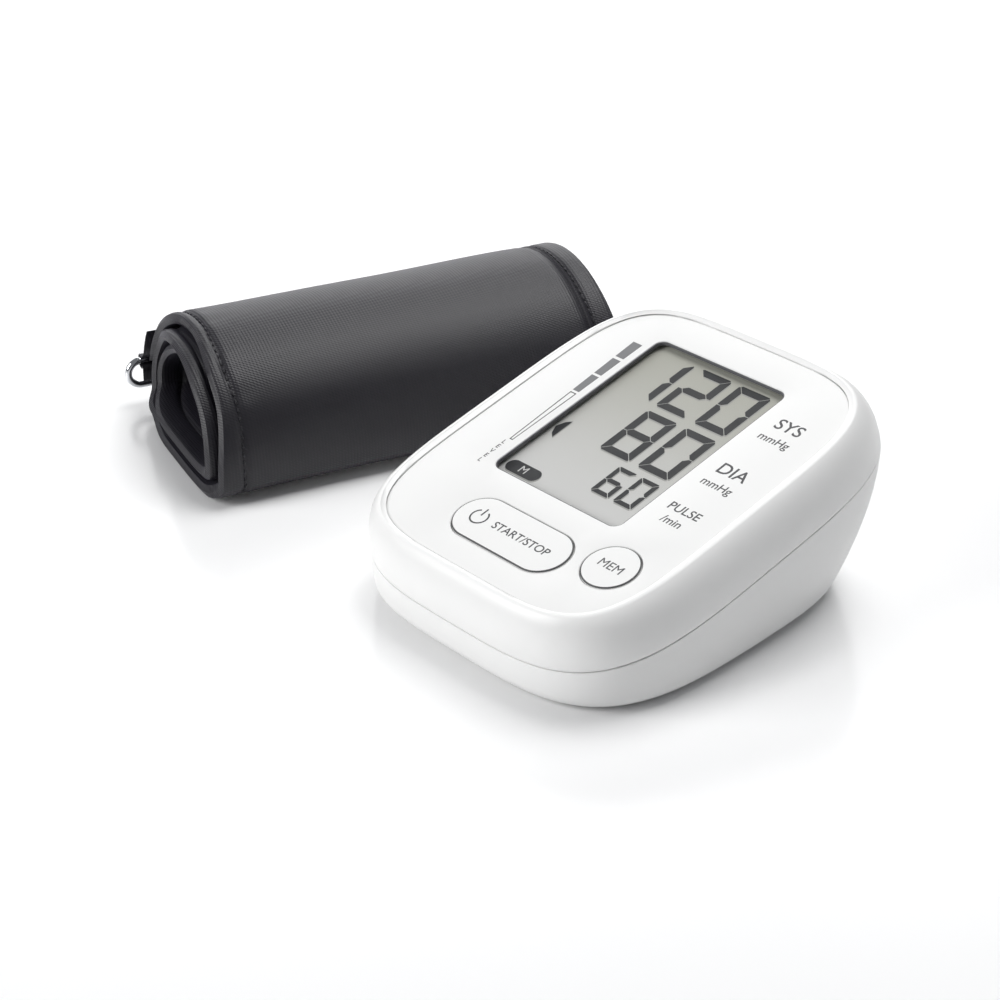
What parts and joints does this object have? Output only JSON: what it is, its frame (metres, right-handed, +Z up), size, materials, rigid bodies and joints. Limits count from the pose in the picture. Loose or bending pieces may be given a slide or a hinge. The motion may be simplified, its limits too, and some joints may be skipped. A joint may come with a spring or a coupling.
{
  "type": "upper arm blood pressure monitor",
  "caption": "Wedge-shaped desktop blood pressure monitor with a tilted display face and two push buttons, beside its rolled fabric arm cuff with a wire ring.",
  "frame": {"origin": "middle of the whole object's footprint, on the table top", "axes": "+X to the monitor's right, +Y to its back, +Z up; the face leans back by 15 degrees and the cuff's roll is turned 16 degrees from +Y towards +X"},
  "size_m": [0.2738, 0.182, 0.0652],
  "materials": {
    "case_white": "fine satin gloss",
    "plate_white": "matte with printed marks",
    "window_clear": "clear polished",
    "lcd_glass": "grey display",
    "light_plastic": "moulded",
    "dark_plastic": "moulded",
    "circuit_board": "solder mask",
    "steel": "plated",
    "brass": "machined",
    "chrome": "polished",
    "rubber": "matte",
    "silicone": "translucent satin",
    "battery_wrap": "printed film",
    "cuff_nylon": "fine satin weave",
    "cuff_tape": "woven tape",
    "bladder_rubber": "matte"
  },
  "bodies": {
    "monitor": {"top_case": "case_white", "bottom_case": "case_white", "face_plate": "plate_white", "lcd_window": "window_clear", "air_socket": "light_plastic", "lcd_panel": "lcd_glass", "lcd_holder": "light_plastic", "main_circuit_board": "circuit_board", "start_switch": "dark_plastic", "memory_switch": "dark_plastic", "pressure_sensor": "dark_plastic", "battery_1": "battery_wrap", "battery_2": "battery_wrap", "battery_3": "battery_wrap", "battery_4": "battery_wrap", "battery_contact_front_left": "steel", "battery_contact_front_middle": "steel", "battery_contact_front_right": "steel", "battery_contact_rear_left": "steel", "battery_contact_rear_right": "steel", "pump_motor": "steel", "pump_head": "dark_plastic", "pump_cradle": "rubber", "exhaust_valve": "dark_plastic", "air_manifold": "light_plastic", "tube_to_valve": "silicone", "tube_to_pump": "silicone", "tube_to_sensor": "silicone", "foot_front_left": "rubber", "foot_front_right": "rubber", "foot_rear_left": "rubber", "foot_rear_right": "rubber", "case_screw_front_left": "steel", "case_screw_front_right": "steel", "case_screw_rear_left": "steel", "case_screw_rear_right": "steel"},
    "start_button": {"start_button": "plate_white"},
    "memory_button": {"memory_button": "plate_white"},
    "start_plunger": {"start_switch_plunger": "light_plastic"},
    "memory_plunger": {"memory_switch_plunger": "light_plastic"},
    "battery_door": {"battery_cover": "case_white"},
    "pump_rotor": {"pump_shaft": "brass"},
    "valve_plunger": {"exhaust_valve_plunger": "steel"},
    "cuff": {"cuff_sleeve": "cuff_nylon", "cuff_bladder": "bladder_rubber", "cuff_binding_near": "cuff_tape", "cuff_binding_far": "cuff_tape", "cuff_hook_patch": "cuff_tape", "d_ring_tunnel": "cuff_nylon", "cuff_air_port": "dark_plastic"},
    "ring": {"d_ring": "chrome"}
  },
  "joints": [
    {"name": "start_button_press", "type": "slide", "parent": "monitor", "child": "start_button", "axis": [0, 0.2588, -0.9659], "range_m": [0, 0.0005], "stiffness_N_per_m": 3000},
    {"name": "memory_button_press", "type": "slide", "parent": "monitor", "child": "memory_button", "axis": [0, 0.2588, -0.9659], "range_m": [0, 0.0005], "stiffness_N_per_m": 3000},
    {"name": "start_plunger_travel", "type": "slide", "parent": "monitor", "child": "start_plunger", "axis": [0, 0.2588, -0.9659], "range_m": [0, 0.0005]},
    {"name": "memory_plunger_travel", "type": "slide", "parent": "monitor", "child": "memory_plunger", "axis": [0, 0.2588, -0.9659], "range_m": [0, 0.0005]},
    {"name": "battery_door_hinge", "type": "hinge", "parent": "monitor", "child": "battery_door", "pos_m": [0.07942, -0.03252, 0.0008], "axis": [-1, 0, 0], "range_deg": [0, 95]},
    {"name": "pump_rotor_spin", "type": "hinge", "parent": "monitor", "child": "pump_rotor", "pos_m": [0.03542, -0.00282, 0.017], "axis": [0, 1, 0], "continuous": true},
    {"name": "valve_plunger_travel", "type": "slide", "parent": "monitor", "child": "valve_plunger", "axis": [0, 1, 0], "range_m": [0, 0.001], "stiffness_N_per_m": 500},
    {"name": "cuff_lift", "type": "slide", "parent": "monitor", "child": "cuff", "axis": [0, 0, 1], "range_m": [0, 0.12]},
    {"name": "d_ring_swing", "type": "hinge", "parent": "cuff", "child": "ring", "pos_m": [-0.11372, 0.01351, 0.01673], "axis": [0.2756, 0.9613, 0], "range_deg": [-12, 75]}
  ],
  "couplings": [
    {"joint": "start_plunger_travel", "follows": "start_button_press", "ratio": 1},
    {"joint": "memory_plunger_travel", "follows": "memory_button_press", "ratio": 1}
  ]
}
